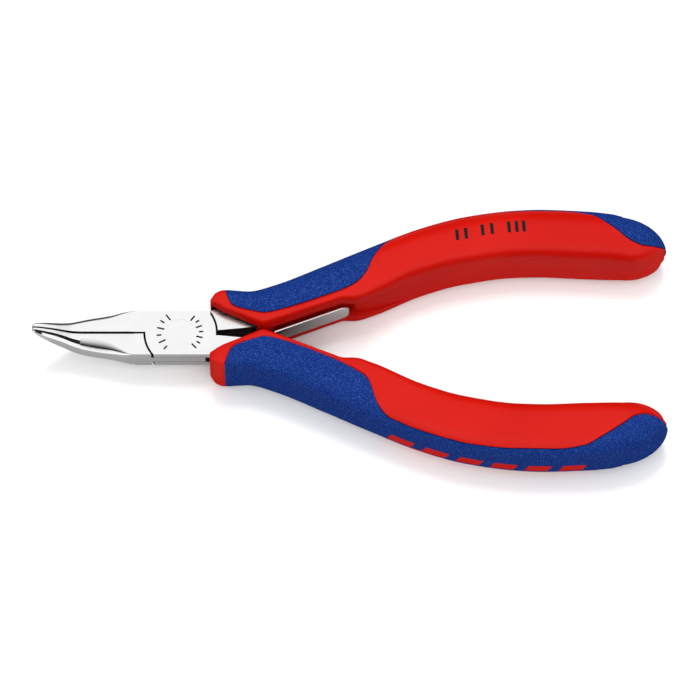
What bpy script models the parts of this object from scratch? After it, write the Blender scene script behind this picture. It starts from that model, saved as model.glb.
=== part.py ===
"""Short bent-nose gripping pliers with two-component handles. Metres, +Z up.

The origin is on the pivot axis, on the flat underside of the head. The jaws point
along -X and their tips bend up towards +Z. Seen from behind the handles, the right
handle is on +Y and the left one on -Y. The jaws are shut, which is the rest position.
"""

import math

import bmesh
import bpy

MM = 0.001

# Head and box joint: one half forms two cheeks, the other half's web turns between them.
HEAD_THICK = 6.0
HEAD_HALF_WIDTH = 4.15
HEAD_FRONT = -8.4
CHEEK_THICK = 1.75
CHEEK_RADIUS = 6.4
WEB_RADIUS = 6.1
POCKET_RADIUS = 6.75
JOINT_GAP = 0.1
PIN_RADIUS = 2.6
PIN_CLEARANCE = 0.05

# Jaws: a straight taper, then a bend of about 45 degrees. Each list is (x, size) from the tip.
JAW_TIP = -26.8
JAW_GAP = 0.12
JAW_OVERLAP = 1.2
JAW_HALF_WIDTH = (
    (-26.8, 0.5), (-26.3, 0.66), (-21.6, 1.3), (-17.2, 2.35), (-12.9, 3.1), (-8.4, 4.15),
)
JAW_TOP = (
    (-26.8, 8.8), (-26.4, 9.2), (-25.6, 9.05), (-23.8, 8.4), (-22.7, 7.9), (-21.0, 6.95),
    (-19.4, 6.2), (-17.6, 6.0),
)
JAW_BOTTOM = (
    (-26.8, 8.2), (-26.2, 7.1), (-24.9, 5.4), (-22.7, 2.7), (-21.0, 1.2), (-19.4, 0.25),
    (-18.2, 0.0),
)
# Flank: below the top edge a steep facet leads out to the fullest part, by this much out and down.
FACET_OUT = ((-26.8, 0.1), (-26.0, 0.2), (-23.0, 0.42), (-19.6, 0.48), (-13.8, 0.4), (-8.4, 0.0))
FACET_DROP = ((-26.8, 0.2), (-26.0, 0.4), (-23.0, 1.1), (-19.6, 1.3), (-13.8, 1.0), (-8.4, 0.6))
FLANK_LOW_SHARE = 0.35

# Shank and tang of each half, as (x, inner edge, outer edge) away from the centre line.
SHANK_FRONT = 5.0
SHANK = ((6.9, 0.5, 4.45), (12.0, 1.0, 4.9), (16.4, 1.5, 5.7))
TANG = ((15.4, 1.4, 5.5), (30.0, 6.4, 10.4), (45.0, 13.2, 16.2), (58.0, 17.0, 19.2))
TANG_THICK = 4.0
TANG_CLEARANCE = 0.3

# Handle grips: their ends and heights, how far both lean about the pivot towards the left
# side, in degrees, and how the nose and the tail round off.
GRIP_FRONT = 5.3
GRIP_REAR = 88.2
GRIP_LOW = -3.5
GRIP_HIGH = 9.5
GRIP_LEAN = -0.4
NOSE_LENGTH = 1.8
NOSE_ROUND = 1.5
NOSE_SIDE_SHARE = 0.4
TAIL_START = 80.0
TAIL_HALF_WIDTH = 4.95
TAIL_CENTRE = (17.95, 16.9)
TAIL_POWER = 0.55
TAIL_ROUND = 6.2
TAIL_ROUND_POWER = 2.4
OUTER_ROUND = 3.0
INNER_ROUND = ((5.3, 0.8), (28.0, 0.9), (36.0, 2.4), (50.0, 3.0))
MOST_ROUND = 0.9

# Edges of the right grip seen from above, as (x, distance from the centre line).
OUTER_EDGE = (
    (5.3, 6.0), (6.2, 6.9), (7.8, 7.45), (12.0, 7.35), (16.5, 8.5), (26.0, 12.4), (34.7, 16.3),
    (43.4, 19.9), (52.0, 22.3), (60.8, 23.5), (65.2, 23.7), (73.9, 23.4), (80.0, 22.9),
)
INNER_EDGE = (
    (5.3, 4.7), (8.0, 3.4), (11.2, 1.9), (14.2, 0.5), (15.0, 0.25), (15.8, 0.45), (17.7, 1.2),
    (22.0, 2.9), (27.5, 5.05), (29.5, 5.7), (31.6, 5.65), (34.7, 6.4), (43.4, 9.9), (52.0, 12.2),
    (60.8, 13.4), (65.2, 13.5), (73.9, 13.15), (80.0, 13.0),
)

# Soft sleeve: it lies in a recess of the hard core, and meets it along this edge on the top face.
SLEEVE_THICK = 1.5
SLEEVE_GAP = 0.4
SLEEVE_FRONT = 7.7
SLEEVE_REAR = 88.1
SLEEVE_SIDE_ANGLE = 25.0
SLEEVE_DEPTH_SHARE = 0.8
SLEEVE_EDGE = (
    (7.7, 7.0), (8.3, 5.0), (9.2, 4.2), (11.5, 3.1), (15.4, 1.9), (17.6, 2.4), (26.0, 5.9),
    (31.8, 8.6), (33.6, 10.8), (34.8, 13.6), (36.8, 16.4), (39.5, 18.3), (43.4, 19.9),
    (52.0, 21.8), (60.0, 22.7), (68.0, 22.8), (74.0, 22.1), (78.2, 19.9), (82.2, 16.7),
    (84.0, 16.1), (87.0, 16.4), (88.2, 16.9),
)
CORE_REAR = 87.2

# Leaf springs, each fixed to its tang at the rear and free at the front, in a channel of the grip.
SPRING_FRONT = (17.0, 0.45)
SPRING_REAR = (30.3, 5.5)
SPRING_WIDTH = 5.2
SPRING_END_ROUND = 1.2
SPRING_THICK = 0.4
CHANNEL_HIGH = 6.2
CHANNEL_DEPTH = ((14.6, 0.0), (15.6, 1.5), (30.6, 1.5), (31.4, 0.8), (41.0, 0.0))

# How finely the round and the lofted shapes are stepped.
ROUND_STEPS = 72
ARC_STEPS = 12
CORNER_STEPS = 3
JAW_STATIONS = 18
STATION_STEP = 3.6
CLOSE_STATIONS = (
    (5.5, 6.0, 7.0, 7.68, 7.72, 7.85, 8.3, 9.2)
    + (14.7, 15.6, 29.5, 30.6, 31.6)
    + (33.6, 34.8, 35.8, 36.8, 37.4, 38.0, 38.8, 39.5)
    + (74.0, 75.0, 76.0, 77.0, 78.2, 84.5, 86.0, 86.8, 87.2, 87.7)
)
SMOOTH_ANGLE = 35
CUT_MARGIN = 1.0
THIN = 0.02
WELD = 1e-6


def clear_scene():
    for thing in list(bpy.data.objects):
        bpy.data.objects.remove(thing)


def collection(name):
    made = bpy.data.collections.new(name)
    bpy.context.scene.collection.children.link(made)
    return made


def material(name, colour, roughness, metallic=0.0):
    made = bpy.data.materials.new(name)
    made.use_nodes = True
    shader = made.node_tree.nodes["Principled BSDF"]
    shader.inputs["Base Color"].default_value = (*colour, 1.0)
    shader.inputs["Roughness"].default_value = roughness
    shader.inputs["Metallic"].default_value = metallic
    return made


def along(points, x):
    """A smooth curve through the points, as a cubic that doesn't overshoot them."""
    if x <= points[0][0]:
        return points[0][1]
    if x >= points[-1][0]:
        return points[-1][1]
    at = next(i for i in range(len(points) - 1) if points[i + 1][0] >= x)

    def slope(i):
        if i in (0, len(points) - 1):
            return 0.0
        before = (points[i][1] - points[i - 1][1]) / (points[i][0] - points[i - 1][0])
        after = (points[i + 1][1] - points[i][1]) / (points[i + 1][0] - points[i][0])
        return 0.0 if before * after <= 0 else 2 * before * after / (before + after)

    (x0, y0), (x1, y1) = points[at], points[at + 1]
    span = x1 - x0
    t = (x - x0) / span
    rise = slope(at) * span
    fall = slope(at + 1) * span
    return (
        y0 * (2 * t**3 - 3 * t**2 + 1)
        + rise * (t**3 - 2 * t**2 + t)
        + y1 * (3 * t**2 - 2 * t**3)
        + fall * (t**3 - t**2)
    )


def straight_along(points, x):
    """The same points joined by straight lines."""
    for (x0, y0), (x1, y1) in zip(points, points[1:]):
        if x <= x1:
            return y0 + (y1 - y0) * max(0.0, x - x0) / (x1 - x0)
    return points[-1][1]


def arc(centre, radius, start, end, steps):
    """Points on an arc between two angles in degrees, both ends included."""
    angles = [math.radians(start + (end - start) * i / steps) for i in range(steps + 1)]
    return [(centre[0] + radius * math.cos(a), centre[1] + radius * math.sin(a)) for a in angles]


def mirrored(points, side):
    """The outline on the +Y side (1) or the -Y side (-1)."""
    return [(x, side * y) for x, y in points]


def mesh_object(name, made, look, into):
    bmesh.ops.recalc_face_normals(made, faces=made.faces)
    mesh = bpy.data.meshes.new(name)
    made.to_mesh(mesh)
    made.free()
    thing = bpy.data.objects.new(name, mesh)
    into.objects.link(thing)
    if look:
        mesh.materials.append(look)
    return thing


def slab(name, outline, low, high, look, into):
    """A flat outline given a thickness between two heights."""
    curve = bpy.data.curves.new(name, "CURVE")
    curve.dimensions = "2D"
    curve.fill_mode = "BOTH"
    curve.extrude = (high - low) / 2 * MM
    spline = curve.splines.new("POLY")
    spline.points.add(len(outline) - 1)
    for point, (x, y) in zip(spline.points, outline):
        point.co = (x * MM, y * MM, 0, 1)
    spline.use_cyclic_u = True
    drawn = bpy.data.objects.new(name + "_outline", curve)
    bpy.context.scene.collection.objects.link(drawn)
    drawn.location.z = (low + high) / 2 * MM
    bpy.context.view_layer.update()
    made = bmesh.new()
    made.from_mesh(drawn.evaluated_get(bpy.context.evaluated_depsgraph_get()).to_mesh())
    made.transform(drawn.matrix_world)
    bmesh.ops.remove_doubles(made, verts=made.verts, dist=WELD)
    bpy.data.objects.remove(drawn)
    return mesh_object(name, made, look, into)


def loft(name, rings, look, into):
    """A closed skin over rings of points that all have the same count."""
    made = bmesh.new()
    rows = [[made.verts.new([c * MM for c in point]) for point in ring] for ring in rings]
    for row, after in zip(rows, rows[1:]):
        for i in range(len(row)):
            j = (i + 1) % len(row)
            made.faces.new((row[i], row[j], after[j], after[i]))
    made.faces.new(rows[0])
    made.faces.new(rows[-1])
    return mesh_object(name, made, look, into)


def disc(name, radius, low, high, into):
    bpy.ops.mesh.primitive_cylinder_add(
        vertices=ROUND_STEPS,
        radius=radius * MM,
        depth=(high - low) * MM,
        location=(0, 0, (low + high) / 2 * MM),
    )
    thing = bpy.context.object
    thing.name = name
    for holder in list(thing.users_collection):
        holder.objects.unlink(thing)
    into.objects.link(thing)
    return thing


def combine(thing, operation, *others):
    """Adds Boolean modifiers, and turns the other objects into wire helpers."""
    for other in others:
        modifier = thing.modifiers.new(other.name, "BOOLEAN")
        modifier.operation = operation
        modifier.object = other
        other.hide_render = True
        other.display_type = "WIRE"


def smooth_shaded(thing):
    thing.data.shade_smooth()
    thing.data.set_sharp_from_angle(angle=math.radians(SMOOTH_ANGLE))


# ---------------------------------------------------------------- jaws


def jaw_ring(x, side):
    """Half-round section of one jaw: flat on the parting side and on top, full on the flank."""
    wide = along(JAW_HALF_WIDTH, x)
    full = wide + along(FACET_OUT, x)
    low = along(JAW_BOTTOM, x)
    high = along(JAW_TOP, x)
    half = [
        (JAW_GAP, low),
        (wide, low),
        (full, low + (high - low) * FLANK_LOW_SHARE),
        (full, high - along(FACET_DROP, x)),
        (wide, high),
        (JAW_GAP, high),
    ]
    return [(x, side * y, z) for y, z in half]


def jaw(name, side, look, into):
    root = -(CHEEK_RADIUS + JAW_OVERLAP)
    stations = [JAW_TIP + (root - JAW_TIP) * (i / JAW_STATIONS) for i in range(JAW_STATIONS + 1)]
    return loft(name, [jaw_ring(x, side) for x in stations], look, into)


# ---------------------------------------------------------------- joint halves


def half_outline(jaw_side, body_radius):
    """Plan of one half without its bent jaw: jaw root, round joint body and shank.

    The jaw lies on one side of the centre line and the shank on the other, so the
    outline crosses over at the joint, bounded there by circles about the pivot.
    """
    corner = math.degrees(math.asin(HEAD_HALF_WIDTH / body_radius))
    jaw_side_turn = math.degrees(JAW_GAP / body_radius)
    shank_side_turn = math.degrees(SHANK[0][1] / body_radius)
    front = arc((0, 0), body_radius, 180 - jaw_side_turn, 180 + corner, ARC_STEPS)
    rear = arc((0, 0), body_radius, -shank_side_turn, corner, ARC_STEPS)
    shank_inner = [(x, -inner) for x, inner, _ in SHANK]
    shank_outer = [(x, -outer) for x, _, outer in SHANK]
    joined = (
        [(HEAD_FRONT, HEAD_HALF_WIDTH), (HEAD_FRONT, JAW_GAP)]
        + front
        + [(SHANK_FRONT, -HEAD_HALF_WIDTH)]
        + shank_outer
        + shank_inner[::-1]
        + rear
    )
    return mirrored(joined, jaw_side)


def tang_outline(side, clearance):
    inner = [(x, side * (inner - clearance)) for x, inner, _ in TANG]
    outer = [(x, side * (outer + clearance)) for x, _, outer in TANG]
    end = TANG[-1][0] + clearance
    tip = [(end, outer[-1][1]), (end, inner[-1][1])]
    return inner[:-1] + tip[::-1] + outer[:-1][::-1]


def shank_cutter_outline(side, clearance):
    inner = [(x, side * (inner - clearance)) for x, inner, _ in SHANK]
    outer = [(x, side * (outer + clearance)) for x, _, outer in SHANK]
    open_end = GRIP_FRONT - CUT_MARGIN
    front = [(open_end, outer[0][1]), (open_end, inner[0][1])]
    end = SHANK[-1][0] + clearance
    tip = [(end, inner[-1][1]), (end, outer[-1][1])]
    return front + inner[:-1] + tip + outer[:-1][::-1]


def joint_half(name, jaw_side, body_radius, look, into, cutters):
    """Jaw root, joint body, shank and tang as one forging."""
    half = slab(name, half_outline(jaw_side, body_radius), 0, HEAD_THICK, look, into)
    middle = HEAD_THICK / 2
    tang = slab(
        name + "_tang", tang_outline(-jaw_side, 0), middle - TANG_THICK / 2, middle + TANG_THICK / 2,
        look, cutters,
    )
    combine(half, "UNION", jaw(name + "_jaw", jaw_side, look, cutters), tang)
    return half


def make_outer_half(look, into, cutters):
    """The half with the two cheeks: right-hand jaw, left-hand tang."""
    half = joint_half("outer_half", 1, CHEEK_RADIUS, look, into, cutters)
    pocket = disc("pocket", POCKET_RADIUS, CHEEK_THICK, HEAD_THICK - CHEEK_THICK, cutters)
    bore = disc("pin_bore", PIN_RADIUS, -CUT_MARGIN, HEAD_THICK + CUT_MARGIN, cutters)
    combine(half, "DIFFERENCE", pocket, bore)
    return half


def make_inner_half(look, into, cutters):
    """The half with the web that turns between the cheeks: left-hand jaw, right-hand tang."""
    half = joint_half("inner_half", -1, WEB_RADIUS, look, into, cutters)
    relief = CHEEK_RADIUS + JOINT_GAP
    web_low = CHEEK_THICK + JOINT_GAP
    past = HEAD_THICK + CUT_MARGIN
    below = disc("lower_relief", relief, -CUT_MARGIN, web_low, cutters)
    above = disc("upper_relief", relief, HEAD_THICK - web_low, past, cutters)
    bore = disc("web_bore", PIN_RADIUS, -CUT_MARGIN, past, cutters)
    combine(half, "DIFFERENCE", below, above, bore)
    return half


def make_pin(look, into):
    pin = disc("pivot_pin", PIN_RADIUS - PIN_CLEARANCE, 0, HEAD_THICK, into)
    pin.data.materials.append(look)
    return pin


# ---------------------------------------------------------------- grips


def grip_section(x):
    """Inner edge, outer edge, lowest and highest height of the grip at x."""
    if x > TAIL_START:
        u = (x - TAIL_START) / (GRIP_REAR - TAIL_START)
        centre = TAIL_CENTRE[0] + (TAIL_CENTRE[1] - TAIL_CENTRE[0]) * u
        half = TAIL_HALF_WIDTH * max(0.0, 1 - u * u) ** TAIL_POWER
        inner, outer = centre - half, centre + half
    else:
        inner, outer = along(INNER_EDGE, x), along(OUTER_EDGE, x)
    nose = min(1.0, (x - GRIP_FRONT) / NOSE_LENGTH)
    draw_in = NOSE_ROUND * (1 - math.sqrt(1 - (1 - nose) ** 2))
    tail = max(0.0, (x - GRIP_REAR + TAIL_ROUND) / TAIL_ROUND)
    flat_share = math.sqrt(max(0.0, 1 - tail**TAIL_ROUND_POWER))
    half_height = (GRIP_HIGH - GRIP_LOW) / 2 * flat_share - draw_in
    middle = (GRIP_HIGH + GRIP_LOW) / 2
    return inner, outer - draw_in * NOSE_SIDE_SHARE, middle - half_height, middle + half_height


def sleeve_edge(x, outer, radius):
    """Where the sleeve's edge lies on the top of the section: its y and its angle on the corner."""
    if x < SLEEVE_FRONT:
        angle = SLEEVE_SIDE_ANGLE
    else:
        reach = (along(SLEEVE_EDGE, x) - (outer - radius)) / radius
        if reach <= 0:
            return along(SLEEVE_EDGE, x), 90.0
        angle = max(SLEEVE_SIDE_ANGLE, math.degrees(math.acos(min(1.0, reach))))
    return outer - radius + radius * math.cos(math.radians(angle)), angle


def upper_section(x):
    """The upper half of the section at x, worked out from its corner circles."""
    inner, outer, low, high = grip_section(x)
    most_round = min(outer - inner, high - low) / 2 * MOST_ROUND
    outer_round = min(OUTER_ROUND, most_round)
    inner_round = min(straight_along(INNER_ROUND, x), most_round)
    edge_y, edge_angle = sleeve_edge(x, outer, outer_round)
    edge_y = max(edge_y, inner + inner_round + THIN)
    return inner, outer, low, high, inner_round, outer_round, edge_y, edge_angle


def covered_side(x, inset, margin):
    """Section from the sleeve's edge round to mid height, sunk by an inset."""
    _, outer, _, high, _, radius, edge_y, edge_angle = upper_section(x)
    centre = (outer - radius, high - radius)
    room = min(1.0, SLEEVE_DEPTH_SHARE * radius / (SLEEVE_THICK + SLEEVE_GAP))
    sunk = radius - inset * room
    angle = edge_angle
    if edge_angle < 90:
        angle -= math.degrees(margin / radius)
    start = (min(edge_y + margin, centre[0] - THIN), high - radius + sunk)
    if edge_angle < 90:
        start = arc(centre, sunk, angle, angle, 1)[0]
    return [start] + arc(centre, sunk, angle, 0, CORNER_STEPS + 1)[1:]


def flipped(points, x):
    """The same points mirrored top to bottom, in reverse order."""
    _, _, low, high = grip_section(x)
    return [(y, low + high - z) for y, z in reversed(points)]


def bare_top(x):
    """The core's top face from its inner corner to the sleeve's edge, which may be on the outer corner."""
    inner, outer, _, high, inner_round, radius, edge_y, edge_angle = upper_section(x)
    if edge_angle < 90:
        return arc((outer - radius, high - radius), radius, 90, edge_angle, CORNER_STEPS)
    start = inner + inner_round
    step = (edge_y - start) / (CORNER_STEPS + 1)
    return [(start + step * i, high) for i in range(1, CORNER_STEPS + 2)]


def core_ring(x, side):
    """Section of the hard core: full size where it shows, sunk under the sleeve."""
    inner, _, _, high, inner_round, *_ = upper_section(x)
    lip = min(CHANNEL_HIGH, high - inner_round - THIN)
    depth = max(THIN, straight_along(CHANNEL_DEPTH, x) if x > CHANNEL_DEPTH[0][0] else 0.0)
    upper = [(inner + depth, lip), (inner, lip)]
    upper += arc((inner + inner_round, high - inner_round), inner_round, 180, 90, CORNER_STEPS)
    upper += bare_top(x)
    upper += covered_side(x, SLEEVE_THICK + SLEEVE_GAP if x > SLEEVE_FRONT else THIN, 0.0)
    return [(x, side * y, z) for y, z in upper + flipped(upper, x)]


def sleeve_ring(x, side):
    """Section of the soft sleeve: a C that wraps the outer side of the core."""
    skin = covered_side(x, 0.0, SLEEVE_GAP)
    bed = covered_side(x, SLEEVE_THICK, SLEEVE_GAP)
    ring = skin + flipped(skin, x) + flipped(bed, x)[::-1] + bed[::-1]
    return [(x, side * y, z) for y, z in ring]


def stations(start, end):
    """Places of the sections from start to end, closer together where the shape turns quickly."""
    steps = round((GRIP_REAR - GRIP_FRONT) / STATION_STEP)
    even = [GRIP_FRONT + STATION_STEP * i for i in range(1, steps + 1)]
    clear = [x for x in even if all(abs(x - y) > STATION_STEP / 4 for y in CLOSE_STATIONS)]
    inside = sorted(x for x in clear + list(CLOSE_STATIONS) if start + THIN < x < end - THIN)
    return [start] + inside + [end]


def make_core(name, side, look, into, cutters):
    places = stations(GRIP_FRONT, CORE_REAR)
    core = loft(name, [core_ring(x, side) for x in places], look, into)
    middle = HEAD_THICK / 2
    reach = TANG_THICK / 2 + TANG_CLEARANCE
    tang_room = slab(
        name + "_tang_room", tang_outline(side, TANG_CLEARANCE), middle - reach, middle + reach,
        None, cutters,
    )
    shank_room = slab(
        name + "_shank_room", shank_cutter_outline(side, TANG_CLEARANCE),
        -TANG_CLEARANCE, HEAD_THICK + TANG_CLEARANCE, None, cutters,
    )
    combine(core, "DIFFERENCE", tang_room, shank_room)
    return core


def make_sleeve(name, side, look, into):
    places = stations(SLEEVE_FRONT + SLEEVE_GAP, SLEEVE_REAR)
    return loft(name, [sleeve_ring(x, side) for x in places], look, into)


# ---------------------------------------------------------------- springs


def make_spring(name, side, look, into):
    """A straight leaf on edge, with rounded corners at its rear end."""
    (x0, y0), (x1, y1) = SPRING_FRONT, SPRING_REAR
    length = math.hypot(x1 - x0, y1 - y0)
    half = SPRING_WIDTH / 2
    corner = (length - SPRING_END_ROUND, half - SPRING_END_ROUND)
    lower = arc((corner[0], -corner[1]), SPRING_END_ROUND, -90, 0, CORNER_STEPS)
    upper = arc(corner, SPRING_END_ROUND, 0, 90, CORNER_STEPS)
    outline = [(0, half), (0, -half)] + lower + upper
    leaf = slab(name, outline, -SPRING_THICK / 2, SPRING_THICK / 2, look, into)
    leaf.rotation_euler = (math.radians(90), 0, side * math.atan2(y1 - y0, x1 - x0))
    leaf.location = (x0 * MM, side * y0 * MM, HEAD_THICK / 2 * MM)
    return leaf


def main():
    clear_scene()
    pliers = collection("pliers")
    cutters = collection("cutters")
    steel = material("polished_steel", (0.72, 0.72, 0.73), 0.18, 1.0)
    spring_steel = material("spring_steel", (0.55, 0.55, 0.55), 0.35, 1.0)
    hard = material("hard_plastic", (0.75, 0.02, 0.01), 0.35)
    soft = material("soft_plastic", (0.01, 0.04, 0.3), 0.6)
    made = [
        make_outer_half(steel, pliers, cutters),
        make_inner_half(steel, pliers, cutters),
        make_pin(steel, pliers),
    ]
    handles = bpy.data.objects.new("handles", None)
    handles.rotation_euler.z = math.radians(GRIP_LEAN)
    pliers.objects.link(handles)
    for label, side in (("left", -1), ("right", 1)):
        leaning = [
            make_core(label + "_grip_core", side, hard, pliers, cutters),
            make_sleeve(label + "_grip_sleeve", side, soft, pliers),
            make_spring(label + "_spring", side, spring_steel, pliers),
        ]
        for thing in leaning:
            thing.parent = handles
        made += leaning
    for thing in made:
        smooth_shaded(thing)


main()
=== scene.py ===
import math

import bmesh
import bpy
from mathutils import Matrix, Vector


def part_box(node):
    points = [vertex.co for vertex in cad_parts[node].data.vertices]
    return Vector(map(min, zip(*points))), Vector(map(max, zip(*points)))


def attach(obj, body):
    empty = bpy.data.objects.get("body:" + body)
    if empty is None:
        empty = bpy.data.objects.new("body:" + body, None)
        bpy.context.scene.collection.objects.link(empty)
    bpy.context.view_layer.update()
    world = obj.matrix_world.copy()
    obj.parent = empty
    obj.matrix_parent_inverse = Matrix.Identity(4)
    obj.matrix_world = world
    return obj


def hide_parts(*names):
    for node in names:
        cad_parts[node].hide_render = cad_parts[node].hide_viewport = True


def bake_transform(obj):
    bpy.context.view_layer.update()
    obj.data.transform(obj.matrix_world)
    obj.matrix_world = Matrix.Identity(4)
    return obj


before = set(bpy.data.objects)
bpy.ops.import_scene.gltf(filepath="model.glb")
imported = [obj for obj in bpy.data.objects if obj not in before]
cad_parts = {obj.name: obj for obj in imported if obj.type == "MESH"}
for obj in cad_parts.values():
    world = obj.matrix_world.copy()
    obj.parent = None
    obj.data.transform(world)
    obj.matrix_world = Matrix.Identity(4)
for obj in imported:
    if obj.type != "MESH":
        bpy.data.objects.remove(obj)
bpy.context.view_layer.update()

MM = 0.001
OUTER_BODY = "outer_half_body"
INNER_BODY = "inner_half_body"
# Each handle: its label, the side of the centre line that it is on, and the body that it rides on.
HANDLES = (("left", -1, OUTER_BODY), ("right", 1, INNER_BODY))

# Head and box joint, in millimetres in the frame's axes.
HEAD_LOW, HEAD_HIGH = (corner.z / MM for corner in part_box("pivot_pin"))
HEAD_HALF_WIDTH = 4.15
HEAD_FRONT = -8.4
CHEEK_THICK = 1.75
CHEEK_RADIUS = 6.38
WEB_RADIUS = 6.1
POCKET_RADIUS = 6.75
# Gaps between the halves, round the cheeks and between the faces of cheek and web. The first is wider
# than the solids' gap, so that the parting line shows.
PARTING_GAP = 0.38
FACE_GAP = 0.12
# The pin is tight in the cheeks, so that no seam shows, and has room to turn in the web.
PIN_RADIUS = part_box("pivot_pin")[1].x / MM
CHEEK_BORE = 2.54
WEB_BORE = 2.6
# The shank that joins each half to its grip, as (x, inner y, outer y).
SHANK = ((6.9, 0.5, 4.45), (12.0, 1.0, 4.9), (16.4, 1.5, 5.7))
EDGE_BEVEL = 0.12

# Jaws.
JAW_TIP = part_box("outer_half")[0].x / MM
JAW_GAP = ((-26.8, 0.09), (-20.0, 0.18), (-7.6, 0.18))
JAW_ROOT = -7.6
JAW_HALF_WIDTH = (
    (-26.8, 0.5), (-26.3, 0.66), (-21.6, 1.3), (-17.2, 2.35), (-12.9, 3.1), (-8.4, 4.15),
)
JAW_TOP = (
    (-26.8, 8.8), (-26.4, 9.2), (-25.6, 9.05), (-23.8, 8.4), (-22.7, 7.9), (-21.0, 6.95),
    (-19.4, 6.2), (-17.6, 6.0),
)
JAW_BOTTOM = (
    (-26.8, 8.2), (-26.2, 7.1), (-24.9, 5.4), (-22.7, 2.7), (-21.0, 1.2), (-19.4, 0.25),
    (-18.2, 0.0),
)
# Flank: a steep facet leads from the top edge out to the fullest part, by this much out and down.
FACET_OUT = ((-26.8, 0.1), (-26.0, 0.2), (-23.0, 0.42), (-13.8, 0.48), (-11.0, 0.3), (-8.4, 0.0))
FACET_DROP = ((-26.8, 0.2), (-26.0, 0.3), (-23.0, 0.8), (-13.8, 0.85), (-11.0, 0.55), (-8.4, 0.3))
FLANK_LOW_SHARE = 0.2
# A face counts as facet while its normal rises by less than this for each part across: at the tip,
# then behind it.
TIP_FACET_END = -25.2
TIP_FACET_RISE = 1.2
FACET_RISE = 0.65
# Radius of the right jaw's top edge, and of the crease below the facet on both jaws.
TOP_ROLL = ((-26.8, 0.2), (-24.0, 0.6), (-19.0, 1.5), (-14.0, 1.8), (-9.0, 0.15))
CREASE_ROLL = 0.12
# The left jaw's bent stretch has a narrow bevel along its top edge, which stops squarely.
TOP_BEVEL = ((-26.8, 0.08), (-26.2, 0.24), (-18.2, 0.6))
TOP_BEVEL_END = -18.2
TOP_BEVEL_SLOPE = 0.95
# Behind the bevel the left jaw's top rolls down to its edge, by a radius that comes and goes.
SHOULDER_ROLL = ((-18.2, 1.7), (-17.0, 2.4), (-14.5, 2.4), (-11.0, 1.2), (-9.0, 0.1))
SHOULDER_TURN = 45
SHOULDER_END = -9.0
# Distances of a jaw's first sections from its tip.
TIP_PLACES = (0.0, 0.05, 0.15)
ROUND_STEPS = 7

# Grips.
GRIP_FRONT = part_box("right_grip_core")[0].x / MM
GRIP_REAR = 88.2
GRIP_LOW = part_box("right_grip_core")[0].z / MM
GRIP_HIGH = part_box("right_grip_core")[1].z / MM
TAIL_START = 80.0
TAIL_HALF_WIDTH = 4.95
TAIL_CENTRE = (17.95, 16.9)
TAIL_POWER = 0.55
GRIP_LEAN = -0.4
NOSE_LENGTH = 1.8
NOSE_ROUND = 1.5
TAIL_ROUND = 6.2
SLEEVE_THICK = 1.2
SLEEVE_FRONT = 8.1
OUTER_EDGE = (
    (5.3, 6.0), (6.2, 6.9), (7.8, 7.45), (12.0, 7.35), (16.5, 8.5), (26.0, 12.4), (34.7, 16.3),
    (43.4, 19.9), (52.0, 22.3), (60.8, 23.5), (65.2, 23.7), (73.9, 23.4), (80.0, 22.9),
)
INNER_EDGE = (
    (5.3, 4.7), (8.0, 3.4), (11.2, 1.9), (14.2, 0.5), (15.0, 0.25), (15.8, 0.45), (17.7, 1.2),
    (22.0, 2.9), (27.5, 5.05), (29.5, 5.7), (31.6, 5.65), (34.7, 6.4), (43.4, 9.9), (52.0, 12.2),
    (60.8, 13.4), (65.2, 13.5), (73.9, 13.15), (80.0, 13.0),
)
# How square each side of the section is: 2 is an ellipse, and a high power nearly a rectangle.
INNER_POWER = {
    1: ((5.3, 7.0), (9.0, 11.0), (28.0, 11.0), (36.0, 7.0), (50.0, 6.0), (78.0, 5.0), (88.2, 2.6)),
    -1: ((5.3, 14.0), (9.0, 22.0), (28.0, 22.0), (36.0, 12.0), (50.0, 6.0), (78.0, 5.0), (88.2, 2.6)),
}
OUTER_POWER = ((5.3, 5.0), (12.0, 4.0), (30.0, 3.6), (45.0, 3.3), (75.0, 3.2), (88.2, 2.6))
OUTER_BULGE = ((5.3, 0.0), (9.0, 0.3), (40.0, 0.5), (78.0, 0.5), (81.0, 0.0))
CROWN = 0.05
# The handles are one shape turned over, and its two faces differ a little. In these tables 1 is the
# right handle's upper half and the left one's lower half, and -1 is the other two halves.
# How far the inner wall leans outwards at its upper edge.
WALL_SHIFT = {
    1: ((5.3, 0.0), (10.0, 0.3), (15.0, 0.7), (20.0, 0.4), (30.0, 0.0), (42.0, 1.2), (76.0, 1.2),
        (84.0, 0.3)),
    -1: ((5.3, -0.5), (10.0, -0.3), (15.0, -0.1), (20.0, -0.25), (28.0, -0.35), (38.0, -0.15),
         (50.0, 0.0)),
}
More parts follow.
